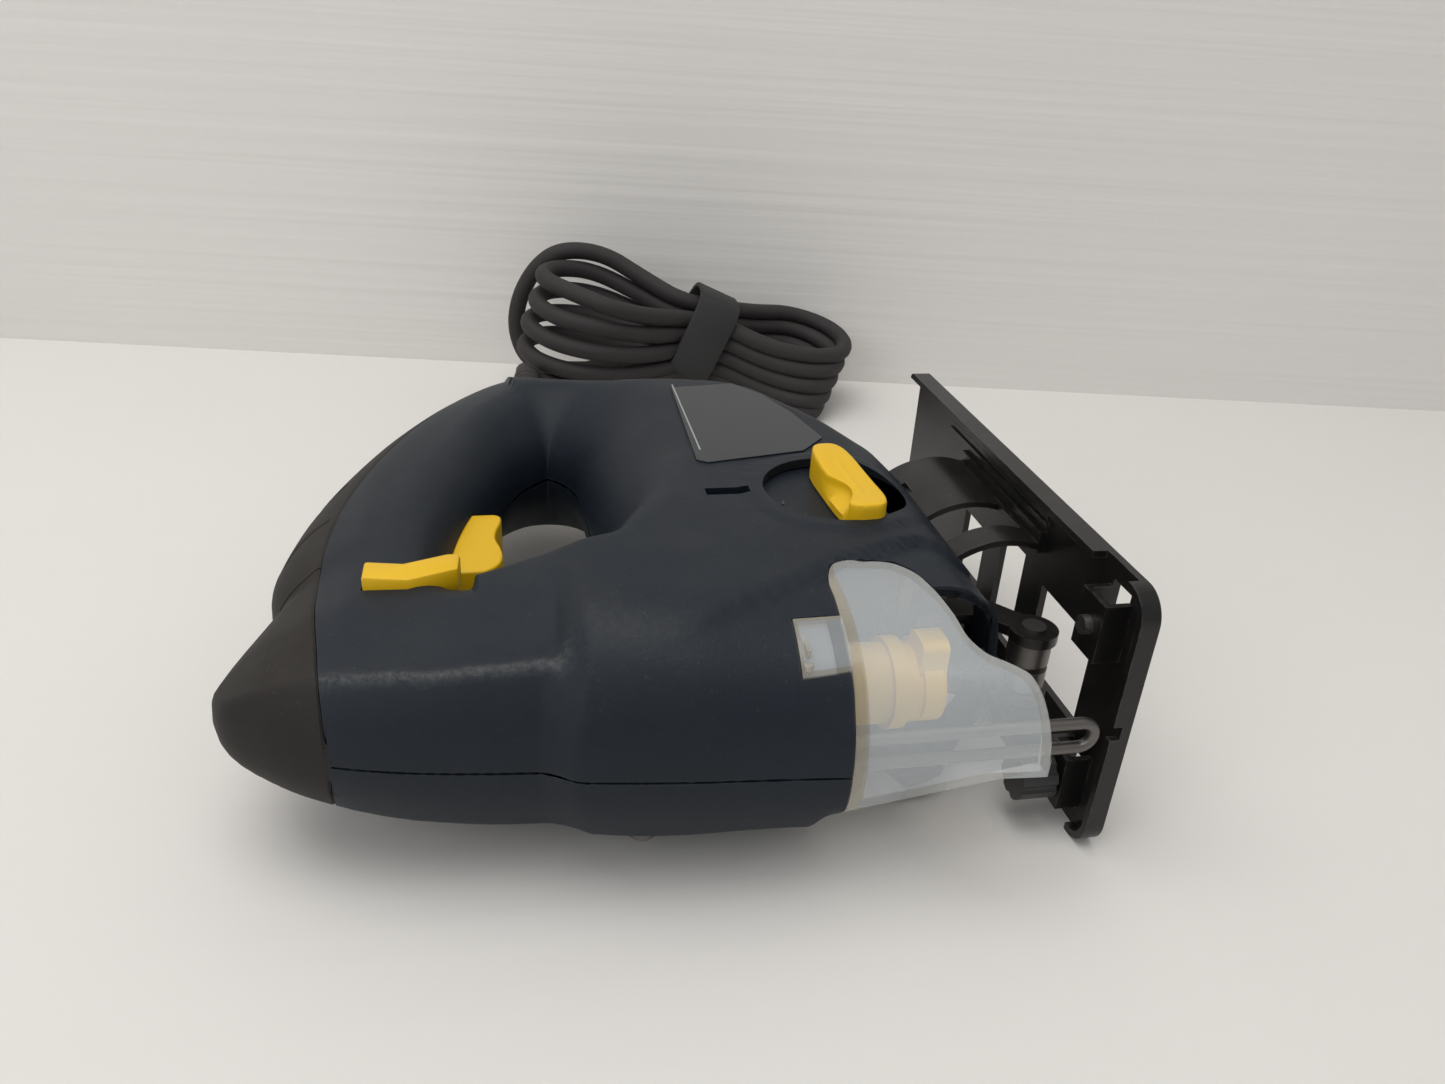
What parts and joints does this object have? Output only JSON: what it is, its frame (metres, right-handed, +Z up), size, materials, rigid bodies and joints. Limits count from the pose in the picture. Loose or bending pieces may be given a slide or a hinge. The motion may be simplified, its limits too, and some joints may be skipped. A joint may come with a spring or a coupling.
{
  "type": "corded jigsaw",
  "caption": "Corded jigsaw lying on its side, with a loop handle, clear guard, quick blade clamp, pendulum roller, tilting slotted shoe and a strapped hank of cord.",
  "frame": {"origin": "centre of the bottom of the tool's box as it lies on its right side, without the free cord and plug", "axes": "+X points out of the sole of the shoe, +Y to the rear of the tool, +Z up, out of the tool's left side"},
  "size_m": [0.2436, 0.3731, 0.084],
  "materials": {
    "housing_navy": "fine leather-like grain",
    "grip_rubber": "soft, fine texture",
    "label_gloss": "dark gloss, bare",
    "yellow_plastic": "satin",
    "clear_plastic": "clear",
    "black_plastic": "satin",
    "black_painted_steel": "satin powder coat",
    "dark_steel": "blackened",
    "steel": "ground",
    "cast_alloy": "as cast",
    "lamination_steel": "stacked sheets",
    "copper_winding": "enamelled copper",
    "sintered_bronze": "satin",
    "carbon": "dull",
    "cord_rubber": "matte",
    "strap_fabric": "hook-and-loop weave"
  },
  "bodies": {
    "housing": {"housing_left": "housing_navy", "housing_right": "housing_navy", "handle_grip": "grip_rubber", "nose_bumper": "grip_rubber", "label_plate": "label_gloss", "housing_screws": "dark_steel", "gear_case": "cast_alloy", "plunger_bushes": "sintered_bronze", "gear_spindle": "steel", "spindle_clip": "steel", "front_bearing": "steel", "rear_bearing": "steel", "field_core": "lamination_steel", "field_coils": "copper_winding", "brush_holders": "sintered_bronze", "carbon_brushes": "carbon", "switch_module": "black_plastic", "shoe_clamp_screw": "dark_steel", "shoe_clamp_washer": "black_painted_steel", "arm_pivot_pin": "steel", "wire_guard": "dark_steel", "cord_strain_relief": "cord_rubber", "cord_tube": "cord_rubber", "cord_coil": "cord_rubber", "cord_strap": "strap_fabric", "plug_body": "cord_rubber", "plug_pins": "sintered_bronze"},
    "armature": {"armature_shaft": "steel", "armature_core": "lamination_steel", "armature_windings": "copper_winding", "commutator": "sintered_bronze", "cooling_fan": "black_plastic"},
    "gear": {"drive_gear": "steel", "crank_pin": "steel"},
    "plunger": {"plunger_rod": "steel", "scotch_yoke": "steel", "blade_clamp_body": "black_painted_steel"},
    "collar": {"blade_clamp_collar": "yellow_plastic"},
    "pendulum": {"pendulum_arm": "black_painted_steel", "roller_pin": "steel"},
    "roller": {"guide_roller": "steel"},
    "guard": {"blade_guard": "clear_plastic"},
    "shoe": {"shoe_plate": "black_painted_steel", "bevel_vault": "black_painted_steel", "guide_set_screw": "dark_steel"},
    "thumb_screw": {"guide_thumb_screw": "black_plastic"},
    "knob": {"orbital_knob": "yellow_plastic", "orbital_cam": "black_plastic"},
    "trigger": {"trigger": "yellow_plastic"},
    "lock": {"lock_button": "yellow_plastic"}
  },
  "joints": [
    {"name": "armature_spin", "type": "hinge", "parent": "housing", "child": "armature", "pos_m": [0.02425, -0.0095, 0.038], "axis": [0, 1, 0], "continuous": true},
    {"name": "gear_spin", "type": "hinge", "parent": "housing", "child": "gear", "pos_m": [-0.00575, -0.071, 0.038], "axis": [0, 1, 0], "continuous": true},
    {"name": "plunger_slide", "type": "slide", "parent": "housing", "child": "plunger", "axis": [1, 0, 0], "range_m": [0, 0.018]},
    {"name": "collar_turn", "type": "hinge", "parent": "plunger", "child": "collar", "pos_m": [0.05825, -0.0815, 0.038], "axis": [1, 0, 0], "range_deg": [0, 60], "stiffness_Nm_per_rad": 0.05},
    {"name": "pendulum_swing", "type": "hinge", "parent": "housing", "child": "pendulum", "pos_m": [0.06425, -0.0635, 0.038], "axis": [0, 0, 1], "range_deg": [0, 3.6]},
    {"name": "roller_spin", "type": "hinge", "parent": "pendulum", "child": "roller", "pos_m": [0.09625, -0.0765, 0.038], "axis": [0, 0, 1], "continuous": true},
    {"name": "guard_slide", "type": "slide", "parent": "housing", "child": "guard", "axis": [0, -1, 0], "range_m": [0, 0.045]},
    {"name": "shoe_tilt", "type": "hinge", "parent": "housing", "child": "shoe", "pos_m": [0.09525, -0.0295, 0.038], "axis": [0, 1, 0], "range_deg": [-45, 45]},
    {"name": "thumb_screw_turn", "type": "hinge", "parent": "shoe", "child": "thumb_screw", "pos_m": [0.09325, -0.095, 0.015], "axis": [1, 0, 0], "range_deg": [0, 270]},
    {"name": "orbital_knob_turn", "type": "hinge", "parent": "housing", "child": "knob", "pos_m": [0.05025, -0.0375, 0.073], "axis": [0, 0, 1], "range_deg": [-90, 0]},
    {"name": "trigger_pull", "type": "slide", "parent": "housing", "child": "trigger", "axis": [-1, 0, 0], "range_m": [0, 0.005], "stiffness_N_per_m": 1200, "springref_m": -0.004},
    {"name": "lock_press", "type": "slide", "parent": "housing", "child": "lock", "axis": [0, 0, -1], "range_m": [0, 0.0025], "stiffness_N_per_m": 800, "springref_m": -0.003}
  ],
  "couplings": [
    {"joint": "gear_spin", "follows": "armature_spin", "ratio": -0.2},
    {"joint": "pendulum_swing", "follows": "plunger_slide", "rad_per_m": 3.2967}
  ]
}
